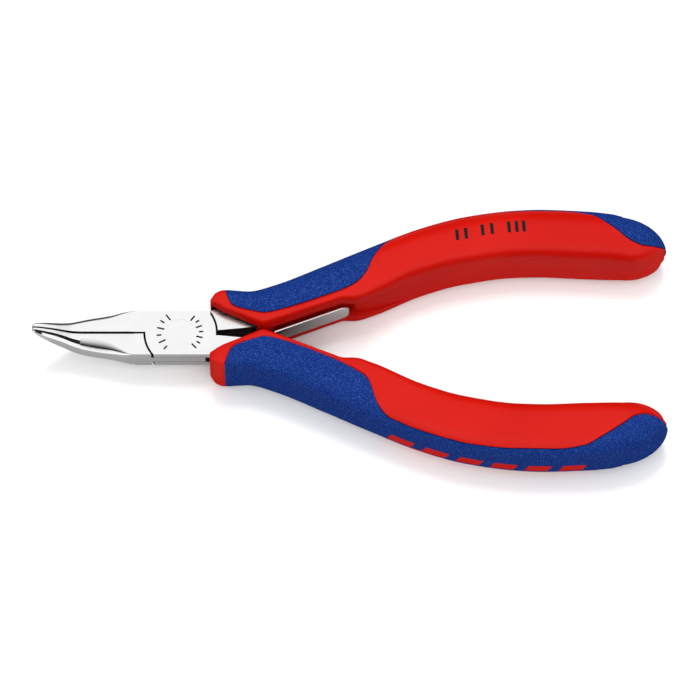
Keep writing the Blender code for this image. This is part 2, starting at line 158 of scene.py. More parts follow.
# The sleeve's edge on each face, as (x, distance from the centre line).
SLEEVE_EDGE = {
    1: ((8.1, 6.9), (8.4, 6.0), (8.8, 5.0), (9.4, 4.1), (10.4, 3.6), (12.0, 3.1), (14.0, 2.65),
        (15.0, 2.45), (16.0, 2.55), (17.6, 2.95), (26.0, 6.0), (31.8, 8.7), (33.6, 10.9),
        (34.8, 13.7), (36.8, 16.5), (39.5, 18.5), (43.4, 20.3), (52.0, 22.3), (60.0, 23.2),
        (68.0, 23.3), (74.0, 22.5), (78.2, 19.9), (82.2, 16.7), (84.0, 16.1), (87.0, 16.4),
        (88.2, 16.9)),
    -1: ((8.1, 6.9), (8.4, 6.0), (8.8, 5.0), (9.4, 3.9), (10.4, 3.2), (12.0, 2.5), (14.0, 1.8),
         (15.0, 1.5), (16.0, 1.6), (17.6, 2.0), (26.0, 5.1), (31.0, 7.5), (32.3, 8.3), (33.2, 8.85),
         (34.1, 9.9), (35.8, 14.5), (37.7, 16.7), (39.3, 17.5), (42.0, 18.65), (48.0, 20.6),
         (52.6, 21.7), (60.0, 22.5), (68.0, 22.6), (73.0, 21.9), (76.2, 20.2), (79.7, 17.9),
         (82.2, 16.2), (84.0, 15.8), (87.0, 16.3), (88.2, 16.9)),
}
CHANNEL_HALF = 3.2
CHANNEL_DEPTH = ((16.6, 0.0), (17.4, 1.7), (30.6, 1.7), (31.4, 0.9), (41.0, 0.0))
CORE_REAR = 87.9
SLEEVE_LAST_PLACES = (88.0, 88.17)
SEAM_WIDTH = 0.16
SEAM_DEPTH = 0.3
SEAM_LOWEST_TURN = 12.0
# How many steps round half a section: the core's bare and covered parts, the sleeve's outside and bed.
BARE_STEPS, COVERED_STEPS = 64, 20
OUTSIDE_STEPS, BED_STEPS = 48, 12
# Stretches of even steps between sections, as (start, end, step), closest where the sleeve's edge turns.
BODY_STRETCHES = ((9.6, 32.4, 0.4), (32.4, 40.0, 0.2), (40.0, 73.0, 0.5))
TAIL_STRETCH = (73.0, CORE_REAR, 0.25)
SHANK_ROOM = 0.3
SHANK_ROOM_ABOVE = 1.0

# Springs.
SPRING_FRONT = (17.0, 0.45)
SPRING_REAR = (30.35, 5.5)
SPRING_LENGTH = math.dist(SPRING_FRONT, SPRING_REAR)
SPRING_WIDTH = 5.2
SPRING_THICK = 0.42
SPRING_END_ROUND = 1.2
SPRING_EDGE = 0.08

# Marks: ticks as (radius, first angle, last angle, count, length), then the middle of each bar.
HEAD_TICKS = ((3.7, 128, 226, 6, 1.4), (3.5, -46, 52, 7, 1.25))
TICK_WIDTH = 0.3
INK_THICK = 0.015
INK_SUNK = 0.1
TOP_BARS = (
    (50.0, 17.9), (51.6, 18.2), (54.6, 18.9), (56.3, 19.2), (59.4, 19.5), (60.8, 19.6), (62.1, 19.7),
)
TOP_BAR_LENGTH = 2.2
TOP_BAR_WIDTH = 0.62
TOP_BAR_LEAN = 0.2
# Inlay bars: their places along the grip, and the turns of the section that they lie between.
INLAY_FIRST = 40.0
INLAY_LAST = 71.0
INLAY_PITCH = 6.2
INLAY_LENGTH = 4.2
INLAY_LEAN = 0.8
INLAY_TURNS = (-21.0, 6.0)
INLAY_PROUD = 0.02
INLAY_SUNK = 0.3
PATCH_STEPS = 12
PATCH_PITCH = 0.12

# Light: the sky is a bright band over the object that runs along X, centred on this direction.
SKY_AIM = (0.0, -0.105, 0.995)
SKY_STRENGTH = 1.34
# Brightness by how nearly a direction points at the middle of the band, where 1 is straight at it.
SKY_STOPS = ((0.0, 0.01), (0.5, 0.03), (0.77, 0.05), (0.86, 0.9), (1.0, 1.0))

# Camera: what it looks at, its height angle, and its distance, in millimetres and degrees.
LOOK_AT = (30.67, -2.3, 3.0)
CAMERA_ELEVATION = 71.2
CAMERA_DISTANCE = 1200.0
CAMERA_LENS = 340.2


# ------------------------------------------------------------------ curves and meshes


def along(points, x):
    """A smooth curve through the points, as a cubic that doesn't overshoot them."""
    if x <= points[0][0]:
        return points[0][1]
    if x >= points[-1][0]:
        return points[-1][1]
    at = next(i for i in range(len(points) - 1) if points[i + 1][0] >= x)

    def slope(i):
        if i in (0, len(points) - 1):
            return 0.0
        before = (points[i][1] - points[i - 1][1]) / (points[i][0] - points[i - 1][0])
        after = (points[i + 1][1] - points[i][1]) / (points[i + 1][0] - points[i][0])
        return 0.0 if before * after <= 0 else 2 * before * after / (before + after)

    (x0, y0), (x1, y1) = points[at], points[at + 1]
    span = x1 - x0
    t = (x - x0) / span
    rise = slope(at) * span
    fall = slope(at + 1) * span
    return (
        y0 * (2 * t**3 - 3 * t**2 + 1)
        + rise * (t**3 - 2 * t**2 + t)
        + y1 * (3 * t**2 - 2 * t**3)
        + fall * (t**3 - t**2)
    )


def straight_along(points, x):
    """The same points joined by straight lines."""
    for (x0, y0), (x1, y1) in zip(points, points[1:]):
        if x <= x1:
            return y0 + (y1 - y0) * max(0.0, x - x0) / (x1 - x0)
    return points[-1][1]


def spaced(start, end, step):
    """Even places from start to end, about step apart."""
    count = max(1, round((end - start) / step))
    return [start + (end - start) * i / count for i in range(count + 1)]


def arc(centre, radius, start, end, steps):
    """Points on an arc between two angles in degrees, both ends included."""
    angles = [math.radians(start + (end - start) * i / steps) for i in range(steps + 1)]
    return [(centre[0] + radius * math.cos(a), centre[1] + radius * math.sin(a)) for a in angles]


def mirrored(points, side):
    return [(x, side * y) for x, y in points]


def rounded(corners, radii, steps_each):
    """A closed outline with each corner rounded by its radius, or by less where an edge is short."""
    points = []
    for i, corner in enumerate(corners):
        steps = steps_each[i]
        if steps == 0:
            points.append(tuple(corner))
            continue
        here = Vector(corner)
        before = Vector(corners[i - 1]) - here
        after = Vector(corners[(i + 1) % len(corners)]) - here
        room = 0.48 * min(before.length, after.length)
        before.normalize()
        after.normalize()
        if (before + after).length < 0.01:
            points += [tuple(here + after * 0.002 * step) for step in range(steps + 1)]
            continue
        half = before.angle(after) / 2
        reach = min(room, radii[i] / math.tan(half))
        centre = here + (before + after).normalized() * (reach / math.cos(half))
        start = here + before * reach - centre
        end = here + after * reach - centre
        sweep = start.angle_signed(end)
        for step in range(steps + 1):
            spoke = Matrix.Rotation(-sweep * step / steps, 2) @ start
            points.append(tuple(centre + spoke))
    return points


def skin(rings):
    """A closed mesh over rings of points in millimetres that all have the same count."""
    made = bmesh.new()
    rows = [[made.verts.new([c * MM for c in point]) for point in ring] for ring in rings]
    for row, after in zip(rows, rows[1:]):
        for i in range(len(row)):
            j = (i + 1) % len(row)
            made.faces.new((row[i], row[j], after[j], after[i]))
    made.faces.new(rows[0])
    made.faces.new(rows[-1])
    return made


def slab(outline, low, high):
    """A flat outline in millimetres, given a thickness between two heights."""
    made = bmesh.new()
    floor = made.faces.new([made.verts.new((x * MM, y * MM, low * MM)) for x, y in outline])
    raised = bmesh.ops.extrude_face_region(made, geom=[floor])
    top = [v for v in raised["geom"] if isinstance(v, bmesh.types.BMVert)]
    bmesh.ops.translate(made, vec=(0, 0, (high - low) * MM), verts=top)
    return made


def disc(radius, low, high, steps=192):
    return slab(arc((0, 0), radius, 0, 360 - 360 / steps, steps - 1), low, high)


def piece(name, made, look, sharp=30):
    """The mesh as an object with one material, smooth apart from its sharp edges."""
    bmesh.ops.remove_doubles(made, verts=made.verts, dist=1e-8)
    bmesh.ops.recalc_face_normals(made, faces=made.faces)
    mesh = bpy.data.meshes.new(name)
    made.to_mesh(mesh)
    made.free()
    mesh.materials.append(look)
    mesh.shade_smooth()
    mesh.set_sharp_from_angle(angle=math.radians(sharp))
    thing = bpy.data.objects.new(name, mesh)
    bpy.context.scene.collection.objects.link(thing)
    return thing


def carved(thing, operation, *others):
    """Applies Booleans with the other objects, then removes them; a cut face takes the cutter's look."""
    for other in others:
        modifier = thing.modifiers.new("cut", "BOOLEAN")
        modifier.operation = operation
        modifier.material_mode = "TRANSFER"
        modifier.object = other
    bpy.context.view_layer.update()
    evaluated = thing.evaluated_get(bpy.context.evaluated_depsgraph_get())
    result = bpy.data.meshes.new_from_object(evaluated)
    thing.modifiers.clear()
    thing.data = result
    for other in others:
        bpy.data.objects.remove(other)
    return thing


def beveled(thing, width, angle=35, segments=3):
    modifier = thing.modifiers.new("edges", "BEVEL")
    modifier.width = width * MM
    modifier.segments = segments
    modifier.limit_method = "ANGLE"
    modifier.angle_limit = math.radians(angle)
    modifier.harden_normals = True
    return thing


# ------------------------------------------------------------------ materials


def grey(value):
    return (value, value, value)


def set_stops(color_ramp, stops):
    """Gives a colour ramp its stops, as (position, colour)."""
    while len(color_ramp.elements) < len(stops):
        color_ramp.elements.new(0.5)
    for element, (position, colour) in zip(color_ramp.elements, stops):
        element.position = position
        element.color = (*colour, 1.0)


class Nodes:
    """Short calls for building one material's node tree."""

    def __init__(self, name):
        self.material = bpy.data.materials.new(name)
        self.material.use_nodes = True
        self.tree = self.material.node_tree
        self.shader = self.tree.nodes["Principled BSDF"]
        self.place = self.add("ShaderNodeTexCoord").outputs["Object"]

    def add(self, kind, **settings):
        node = self.tree.nodes.new(kind)
        for key, value in settings.items():
            setattr(node, key, value)
        return node

    def link(self, source, target):
        self.tree.links.new(source, target)

    def fix(self, values):
        """Sets the shader's values that are the same all over the surface."""
        for socket, value in values.items():
            self.shader.inputs[socket].default_value = value

    def feed(self, socket, source):
        """Links an output to one of the shader's sockets."""
        self.link(source, self.shader.inputs[socket])

    def noise(self, scale, detail=2.0, stretch=(1, 1, 1), roughness=0.5):
        mapping = self.add("ShaderNodeMapping")
        mapping.inputs["Scale"].default_value = stretch
        self.link(self.place, mapping.inputs["Vector"])
        texture = self.add("ShaderNodeTexNoise")
        texture.inputs["Scale"].default_value = scale
        texture.inputs["Detail"].default_value = detail
        texture.inputs["Roughness"].default_value = roughness
        self.link(mapping.outputs["Vector"], texture.inputs["Vector"])
        return texture.outputs["Fac"]

    def ramp(self, value, stops):
        ramp = self.add("ShaderNodeValToRGB")
        set_stops(ramp.color_ramp, stops)
        self.link(value, ramp.inputs["Fac"])
        return ramp.outputs["Color"]

    def range(self, value, low, high, from_low=0.3, from_high=0.7):
        mapped = self.add("ShaderNodeMapRange")
        mapped.inputs["From Min"].default_value = from_low
        mapped.inputs["From Max"].default_value = from_high
        mapped.inputs["To Min"].default_value = low
        mapped.inputs["To Max"].default_value = high
        self.link(value, mapped.inputs["Value"])
        return mapped.outputs["Result"]

    def blotched(self, value, noise, amount):
        """The value with a little noise added."""
        mixed = self.add("ShaderNodeMath", operation="MULTIPLY_ADD")
        self.link(noise, mixed.inputs[0])
        mixed.inputs[1].default_value = amount
        self.link(value, mixed.inputs[2])
        return mixed.outputs["Value"]

    def bump(self, height, distance, strength=1.0):
        bump = self.add("ShaderNodeBump")
        bump.inputs["Strength"].default_value = strength
        bump.inputs["Distance"].default_value = distance
        self.link(height, bump.inputs["Height"])
        return bump.outputs["Normal"]


def steel_material(name, shade, rough, grain):
    """Steel with a fine grain along X and faint blotches."""
    made = Nodes(name)
    fine = made.noise(2500, 3.0, (0.15, 1, 1))
    blotches = made.noise(180, 3.0)
    made.fix({"Metallic": 1.0})
    made.feed("Base Color", made.ramp(blotches, [(0.3, grey(shade * 0.96)), (0.7, grey(shade))]))
    made.feed("Roughness", made.range(fine, rough * 0.8, rough * 1.25))
    made.feed("Normal", made.bump(fine, grain))
    return made.material


def shoulder_material():
    """Steel that is polished on top, with painted shade: its colour turns grey, then near black, where
    it leans to either side.
    """
    made = Nodes("rolled_shoulder_painted_shade")
    normal = made.add("ShaderNodeSeparateXYZ")
    made.link(made.add("ShaderNodeTexCoord").outputs["Normal"], normal.inputs["Vector"])
    sideways = made.add("ShaderNodeMath", operation="ABSOLUTE")
    made.link(normal.outputs["Y"], sideways.inputs[0])
    leaning = made.range(sideways.outputs["Value"], 0.0, 1.0, 0.04, 0.62)
    blotched_shade = made.blotched(leaning, made.noise(180, 3.0), 0.03)
    shades = [(0.0, grey(0.73)), (0.5, grey(0.5)), (1.0, grey(0.07))]
    made.fix({"Metallic": 1.0, "Roughness": 0.25})
    made.feed("Base Color", made.ramp(blotched_shade, shades))
    return made.material


def leaf_material():
    """Spring steel with painted shade: darker towards its front end, which lies in the shadow near the
    joint.
    """
    made = Nodes("spring_steel")
    place = made.add("ShaderNodeSeparateXYZ")
    made.link(made.place, place.inputs["Vector"])
    rearward = made.range(place.outputs["X"], 0.0, 0.95, SPRING_FRONT[0] * MM, SPRING_REAR[0] * MM)
    blotched_shade = made.blotched(rearward, made.noise(300, 3.0, (0.3, 1, 1)), 0.08)
    shades = [(0.05, grey(0.015)), (0.4, grey(0.09)), (0.95, grey(0.34))]
    made.fix({"Metallic": 1.0, "Roughness": 0.25})
    made.feed("Base Color", made.ramp(blotched_shade, shades))
    return made.material


def hard_material():
    """Satin red plastic with fine pores."""
    made = Nodes("hard_red")
    reds = [(0.3, (0.43, 0.004, 0.0015)), (0.7, (0.48, 0.007, 0.003))]
    made.fix({"Specular IOR Level": 0.0, "Coat Weight": 0.032, "Coat IOR": 3.5, "Coat Roughness": 0.3})
    made.feed("Base Color", made.ramp(made.noise(60, 3.0), reds))
    made.feed("Roughness", made.range(made.noise(900, 3.0), 0.36, 0.46))
    made.feed("Normal", made.bump(made.noise(9000, 2.0), 0.000012))
    return made.material


def soft_material():
    """Matt blue soft plastic with a moulded grain, whose high spots are paler."""
    made = Nodes("soft_blue")
    grain = made.noise(4800, 3.0, roughness=0.7)
    blues = [(0.32, (0.001, 0.01, 0.095)), (0.5, (0.003, 0.022, 0.15)), (0.72, (0.035, 0.085, 0.32))]
    made.fix({"Specular IOR Level": 0.0, "Coat Weight": 0.012, "Coat IOR": 3.5, "Coat Roughness": 0.5})
    made.feed("Base Color", made.ramp(grain, blues))
    made.feed("Roughness", made.range(made.noise(120, 2.0), 0.5, 0.62))
    made.feed("Normal", made.bump(grain, 0.00009, 0.8))
    return made.material


def matt_material(name, scale, dark, light, rough, specular):
    """A dark unpolished surface with a slight mottle."""
    made = Nodes(name)
    made.fix({"Roughness": rough, "Specular IOR Level": specular})
    made.feed("Base Color", made.ramp(made.noise(scale), [(0.3, dark), (0.7, light)]))
    return made.material


POLISHED = steel_material("polished_steel", 0.74, 0.22, 0.000003)
# Ground flanks, steep edges and the tip's end, with their colour darkened far below steel's as painted
# shade for the dim reflection they show.
FLANK = steel_material("ground_flank_painted_shade", 0.27, 0.18, 0.000004)
# Painted shade: near-black steel for the gaps, the seams, the space between the shanks and the left
# jaw's top bevel, which only mirror dark surroundings.
GAP_SHADE = steel_material("painted_gap_shade", 0.025, 0.5, 0.000008)
# Painted shade: polished steel that darkens where a jaw's top rolls to its edge.
SHOULDER = shoulder_material()
# Painted shade along the leaves, darkest at their front ends.
SPRING = leaf_material()
RED = hard_material()
BLUE = soft_material()
INK = matt_material("black_print", 2000, grey(0.002), grey(0.008), 0.6, 0.2)
# The unlit inside of the opening that a shank goes into.
RECESS = matt_material("recess", 400, (0.004, 0.001, 0.001), (0.01, 0.002, 0.002), 0.9, 0.0)


# ------------------------------------------------------------------ steel halves


def jaw_ring(x, side):
    """Half-round section of one jaw: flat on the parting side and on top, full on the flank."""
    wide = along(JAW_HALF_WIDTH, x)
    full = wide + along(FACET_OUT, x)
    low = along(JAW_BOTTOM, x)
    high = along(JAW_TOP, x)
    gap = straight_along(JAW_GAP, x)
    if side < 0 and x < TOP_BEVEL_END:
        bevel = straight_along(TOP_BEVEL, x)
        top = [(wide, high - bevel * TOP_BEVEL_SLOPE), (wide - bevel, high)]
        radii, steps = [0.04, 0.04], [ROUND_STEPS] * 2
    elif side < 0:
        roll = min(along(SHOULDER_ROLL, x), wide - gap - EDGE_BEVEL)
        top = arc((wide - roll * math.sin(math.radians(SHOULDER_TURN)), high - roll), roll,
                  90 - SHOULDER_TURN, 90, 2 * ROUND_STEPS + 1)
        radii, steps = [0.0] * len(top), [0] * len(top)
    else:
        top = [(wide, high)]
        radii, steps = [along(TOP_ROLL, x)], [2 * ROUND_STEPS + 1]
    flank = [
        (gap, low), (wide, low), (full, low + (high - low) * FLANK_LOW_SHARE),
        (full, top[0][1] - along(FACET_DROP, x)),
    ]
    corners = flank + top + [(gap, high)]
    flank_radii = [EDGE_BEVEL / 2, min(0.5, wide / 3), (high - low) / 5, CREASE_ROLL]
    radii = flank_radii + radii + [EDGE_BEVEL / 2]
    steps = [ROUND_STEPS] * 4 + steps + [ROUND_STEPS]
    return [(x, side * y, z) for y, z in rounded(corners, radii, steps)]


def jaw(name, side):
    tip = [JAW_TIP + behind for behind in TIP_PLACES]
    rings = [jaw_ring(x, side) for x in tip + spaced(JAW_TIP + 0.3, JAW_ROOT, 0.25)]
    return piece(name, skin(rings), POLISHED)


def half_outline(jaw_side, body_radius):
    """Plan of one half from the root of its jaw, round the pivot, to the end of its shank."""
    corner = math.degrees(math.asin(HEAD_HALF_WIDTH / body_radius))
    root_gap = straight_along(JAW_GAP, JAW_ROOT)
    front = arc((0, 0), body_radius, 180 - math.degrees(root_gap / body_radius), 180 + corner, 48)
    rear = arc((0, 0), body_radius, -math.degrees(SHANK[0][1] / body_radius), corner, 48)
    shank_inner = [(x, -inner) for x, inner, _ in SHANK]
    shank_outer = [(x, -outer) for x, _, outer in SHANK]
    outline = (
        [(HEAD_FRONT, HEAD_HALF_WIDTH), (HEAD_FRONT, root_gap)]
        + front
        + [(GRIP_FRONT - 0.3, -HEAD_HALF_WIDTH)]
        + shank_outer
        + shank_inner[::-1]
        + rear
    )
    return mirrored(outline, jaw_side)


def is_inside_face(face):
    """True for a face in the parting line, inside the joint, in its seams or between the shanks."""
    x, y, z = face.center / MM
    from_pivot = math.hypot(x, y)
    if abs(face.normal.z) > 0.5:
        return HEAD_LOW + 0.5 < z < HEAD_HIGH - 0.5 and from_pivot < POCKET_RADIUS + 0.5
    outward = abs(face.normal.x * x + face.normal.y * y) / from_pivot
    in_seam = outward > 0.9 and WEB_RADIUS - 0.2 < from_pivot < POCKET_RADIUS + 0.2
    between_jaws = x < JAW_ROOT and abs(y) < 0.2
    between_shanks = x > WEB_RADIUS and abs(y) < SHANK[-1][1] + 0.1
    return in_seam or between_jaws or between_shanks


def is_side_face(face):
    """True for the ground flanks and steep edges, whose darkened steel is painted shade, but not for the
    bright facet under an edge.

    Where the left jaw's bevel stops, only an upright face is one.
    """
    x = face.center.x / MM
    across, up = abs(face.normal.y), face.normal.z
    at_bevel_end = TOP_BEVEL_END - 0.4 < x < TOP_BEVEL_END + 0.1
    if at_bevel_end and face.normal.y < 0:
        return up < 0.15
    facet_rise = TIP_FACET_RISE if x < TIP_FACET_END else FACET_RISE
    is_facet = 0.15 * across < up < facet_rise * across
    is_top = up > 1.2 * across
    return face.normal.x < -0.35 or (across > 0.1 and not is_facet and not is_top)


def is_bevel_face(face):
    """True on the left jaw's narrow top bevel."""
    x, y, _ = face.center / MM
    across, up = -face.normal.y, face.normal.z
    return JAW_TIP + 0.5 < x < TOP_BEVEL_END and y < 0 and across > 0.3 and up > 0.6 * across


def is_shoulder_face(face):
    """True on the top and rolled edge of the right jaw, and of the left jaw behind its bevel."""
    x, y, _ = face.center / MM
    start = JAW_TIP + 0.4 if y > 0 else TOP_BEVEL_END
    return start < x < SHOULDER_END and abs(y) > JAW_GAP[-1][1] and face.normal.z > 0.65


def finish_faces(mesh):
    """Polished by default, with painted shade: near black in the gaps and on the bevel, darkened grey on
    the flanks, and darkening on top where it rolls to an edge.
    """
    looks = (POLISHED, GAP_SHADE, FLANK, SHOULDER)
    for look in looks[1:]:
        mesh.materials.append(look)
    for face in mesh.polygons:
        if is_inside_face(face) or is_bevel_face(face):
            look = GAP_SHADE
        elif is_shoulder_face(face):
            look = SHOULDER
        elif is_side_face(face):
            look = FLANK
        else:
            look = POLISHED
        face.material_index = looks.index(look)


def joint_half(name, jaw_side, body_radius, cuts, body):
    """One steel half, from its plan, its jaw and what is cut away round the pivot."""
    half = piece(name, slab(half_outline(jaw_side, body_radius), HEAD_LOW, HEAD_HIGH), POLISHED)
    half = carved(half, "UNION", jaw(name + "_jaw", jaw_side))
    half = carved(half, "DIFFERENCE", *[piece("cut", cut, POLISHED) for cut in cuts])
    finish_faces(half.data)
    half.data.shade_smooth()
    half.data.set_sharp_from_angle(angle=math.radians(25))
    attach(half, body)
    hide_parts(name.replace("_body", ""))


def make_halves():
    """The outer half has two cheeks with a pocket between them, and the inner half a web for it."""
    below, above = -1, HEAD_HIGH + 1
    pocket = disc(POCKET_RADIUS, CHEEK_THICK, HEAD_HIGH - CHEEK_THICK)
    cheek_bore = disc(CHEEK_BORE, below, above)
    joint_half("outer_half_body", 1, CHEEK_RADIUS, [pocket, cheek_bore], OUTER_BODY)
    relief = CHEEK_RADIUS + PARTING_GAP
    lower_relief = disc(relief, below, CHEEK_THICK + FACE_GAP)
    upper_relief = disc(relief, HEAD_HIGH - CHEEK_THICK - FACE_GAP, above)
    web_bore = disc(WEB_BORE, below, above)
    joint_half("inner_half_body", -1, WEB_RADIUS, [lower_relief, upper_relief, web_bore], INNER_BODY)


def make_pin():
    pin = piece("pivot_pin_body", disc(PIN_RADIUS, HEAD_LOW, HEAD_HIGH), POLISHED)
    beveled(pin, 0.03)
    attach(pin, OUTER_BODY)
    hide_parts("pivot_pin")


# ------------------------------------------------------------------ grips


def grip_section(x, half_side):
    """Half of the section at x: middle y, half width, middle z, half height, powers, wall shift."""
    if x > TAIL_START:
        u = min(1.0, (x - TAIL_START) / (GRIP_REAR - TAIL_START))
        centre = TAIL_CENTRE[0] + (TAIL_CENTRE[1] - TAIL_CENTRE[0]) * u
        half = TAIL_HALF_WIDTH * (1 - u * u) ** TAIL_POWER
    else:
        inner = along(INNER_EDGE, x)
        outer = along(OUTER_EDGE, x) + along(OUTER_BULGE, x)
        centre, half = (inner + outer) / 2, (outer - inner) / 2
    nose = min(1.0, (x - GRIP_FRONT) / NOSE_LENGTH)
    draw_in = NOSE_ROUND * (1 - math.sqrt(1 - (1 - nose) ** 2))
    tail = min(1.0, max(0.0, (x - GRIP_REAR + TAIL_ROUND) / TAIL_ROUND))
    high = (GRIP_HIGH - GRIP_LOW) / 2 * math.sqrt(1 - tail**2.4) - draw_in
    middle = (GRIP_HIGH + GRIP_LOW) / 2
    powers = (along(INNER_POWER[half_side], x), along(OUTER_POWER, x))
    return centre, half - draw_in * 0.2, middle, high, powers, along(WALL_SHIFT[half_side], x)


def on_section(section, turn, inset, way):
    """A point on the section; turn is 180 at the inner side, 90 at the top and 0 at the outer side.

    A way of -1 makes it the lower half.
    """
    centre, half, middle, high, powers, wall_shift = section
    c, s = math.cos(math.radians(turn)), math.sin(math.radians(turn))
    power = powers[0] if c < 0 else powers[1]
    reach = (abs(c) ** power + abs(s) ** power) ** (-1 / power)
    half = max(half - inset, half * 0.15)
    high = max(high - inset, high * 0.15)
    across, up = c * reach, s * reach * (1 - CROWN * (c * reach) ** 2)
    aside = wall_shift * max(0.0, up) * max(0.0, -across)
    return centre + across * half + aside, middle + way * up * high


def turn_at_y(section, y):
    """The turn on the upper half of the section where it passes a given y."""
    centre, half, _, _, powers, _ = section
    share = max(-1.0, min(1.0, (y - centre) / half))
    power = powers[0] if share < 0 else powers[1]
    return math.degrees(math.atan2((1 - abs(share) ** power) ** (1 / power), share))


def turn_at_rise(section, rise):
    """The turn on the inner upper quarter where the section passes a height above its middle."""
    _, _, _, high, powers, _ = section
    share = min(0.95, rise / (high * (1 - CROWN)))
    across = (1 - share ** powers[0]) ** (1 / powers[0])
    return math.degrees(math.atan2(share, -across))


def seam_turn(x, section, half_side):
    """The turn at which the sleeve's edge is."""
    if x < SLEEVE_FRONT:
        return SEAM_LOWEST_TURN
    return max(SEAM_LOWEST_TURN, turn_at_y(section, along(SLEEVE_EDGE[half_side], x)))


def lean(made):
    """Turns a mesh about the pivot by the lean that both handles have."""
    turn = Matrix.Rotation(math.radians(GRIP_LEAN), 3, "Z")
    bmesh.ops.rotate(made, cent=(0, 0, 0), matrix=turn, verts=made.verts)
    return made


def turns(start, end, count):
    return [start + (end - start) * i / count for i in range(count + 1)]


def nudge(section, millimetres):
    """About how many degrees of turn a short way along the top face is."""
    return math.degrees(millimetres / max(1.0, section[1]))


def core_half(x, side, way):
    """Half of the core's section, from the channel over one face to the outer side."""
    section = grip_section(x, side * way)
    lip = turn_at_rise(section, CHANNEL_HALF)
    seam = seam_turn(x, section, side * way)
    covered = x >= SLEEVE_FRONT
    sunk = SLEEVE_THICK if covered else 0.0
    groove = SEAM_DEPTH if covered else 0.0
    depth = straight_along(CHANNEL_DEPTH, x) if x > CHANNEL_DEPTH[0][0] else 0.0
    edge = nudge(section, SEAM_WIDTH)
    bare_end = min(lip - 1.0, seam + edge)
    lip_point = on_section(section, lip, 0.0, way)
    half = [(lip_point[0] + depth, lip_point[1]), lip_point]
    half += [on_section(section, t, 0.0, way) for t in turns(lip, bare_end, BARE_STEPS)[1:]]
    half += [on_section(section, seam, groove, way), on_section(section, seam, sunk, way)]
    half += [on_section(section, t, sunk, way) for t in turns(seam, 0, COVERED_STEPS)[1:]]
    return half


def core_ring(x, side):
    upper, lower = core_half(x, side, 1), core_half(x, side, -1)
    return [(x, side * y, z) for y, z in upper + lower[-2::-1]]


def sleeve_half(x, side, way):
    """Half of the sleeve's section: its outside and its bed, each from the edge to the outer side."""
    section = grip_section(x, side * way)
    seam = seam_turn(x, section, side * way)
    edge = nudge(section, SEAM_WIDTH)
    outside = [on_section(section, seam, SEAM_DEPTH, way)]
    top_turns = turns(max(1.0, seam - edge), 0, OUTSIDE_STEPS)
    outside += [on_section(section, t, 0.0, way) for t in top_turns]
    bed = [on_section(section, t, SLEEVE_THICK, way) for t in turns(seam, 0, BED_STEPS)]
    return outside, bed


def sleeve_ring(x, side):
    upper, upper_bed = sleeve_half(x, side, 1)
    lower, lower_bed = sleeve_half(x, side, -1)
    ring = upper + lower[-2::-1] + lower_bed[:-1] + upper_bed[::-1]
    return [(x, side * y, z) for y, z in ring]


def core_places():
    """Where a grip's sections are: its nose, the sleeve's front edge, its length and its tail."""
    places = [GRIP_FRONT + behind for behind in (0.0, 0.03, 0.1, 0.2)]
    places += spaced(GRIP_FRONT + 0.35, SLEEVE_FRONT - 0.1, 0.25)
    places += [SLEEVE_FRONT - 0.01] + spaced(SLEEVE_FRONT, 9.4, 0.1)
    for start, end, step in BODY_STRETCHES:
        places += spaced(start, end, step)[:-1]
    return places + spaced(*TAIL_STRETCH)


def shank_room_outline():
    """Plan of the opening in the front of a grip, a little larger than the shank in it."""
    inner = [(x, inner - SHANK_ROOM) for x, inner, _ in SHANK]
    outer = [(x, outer + SHANK_ROOM) for x, _, outer in SHANK]
    front = GRIP_FRONT - 1
    return [(front, outer[0][1]), (front, inner[0][1])] + inner + outer[::-1]


def make_core(label, side, body, places):
    core = piece(label + "_core", lean(skin([core_ring(x, side) for x in places])), RED, 40)
    plan = mirrored(shank_room_outline(), side)
    room = slab(plan, HEAD_LOW - SHANK_ROOM, HEAD_HIGH + SHANK_ROOM_ABOVE)
    core = carved(core, "DIFFERENCE", piece("cut", room, RECESS))
    core.data.shade_smooth()
    core.data.set_sharp_from_angle(angle=math.radians(40))
    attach(core, body)
    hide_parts(label + "_grip_core")


def make_sleeve(label, side, body, places):
    sleeve = piece(label + "_sleeve", lean(skin([sleeve_ring(x, side) for x in places])), BLUE, 50)
    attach(sleeve, body)
    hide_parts(label + "_grip_sleeve")


def make_grips():
    places = core_places()
    covered = [x for x in places if x >= SLEEVE_FRONT] + list(SLEEVE_LAST_PLACES)
    for label, side, body in HANDLES:
        make_core(label, side, body, places)
        make_sleeve(label, side, body, covered)


# ------------------------------------------------------------------ marks


def bar(centre, length, width, angle):
    """Outline of a flat bar with rounded ends, its length at an angle in degrees."""
    half, radius = (length - width) / 2, width / 2
    c, s = math.cos(math.radians(angle)), math.sin(math.radians(angle))
    ends = arc((half, 0), radius, -90, 90, 8) + arc((-half, 0), radius, 90, 270, 8)
    return [(centre[0] + x * c - y * s, centre[1] + x * s + y * c) for x, y in ends]


def joined(parts):
    """Several meshes as one."""
    made = bmesh.new()
    for part in parts:
        mesh = bpy.data.meshes.new("part")
        part.to_mesh(mesh)
        part.free()
        made.from_mesh(mesh)
        bpy.data.meshes.remove(mesh)
    return made


def make_head_marks():
    """Plain radial ticks in two arcs round the pivot, as thin ink on the upper cheek.

    Every second tick is shorter by a third, at its inner end.
    """
    bars = []
    for radius, first, last, count, length in HEAD_TICKS:
        for i, angle in enumerate(turns(first, last, count - 1)):
            shorter = length / 3 if i % 2 else 0.0
            reach = radius + shorter / 2
            a = math.radians(angle)
            place = (reach * math.cos(a), reach * math.sin(a))
            bars.append(bar(place, length - shorter, TICK_WIDTH, angle))
    marks = joined([slab(outline, HEAD_HIGH - 0.02, HEAD_HIGH + INK_THICK) for outline in bars])
    ink = piece("head_ticks", marks, INK)
    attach(ink, OUTER_BODY)


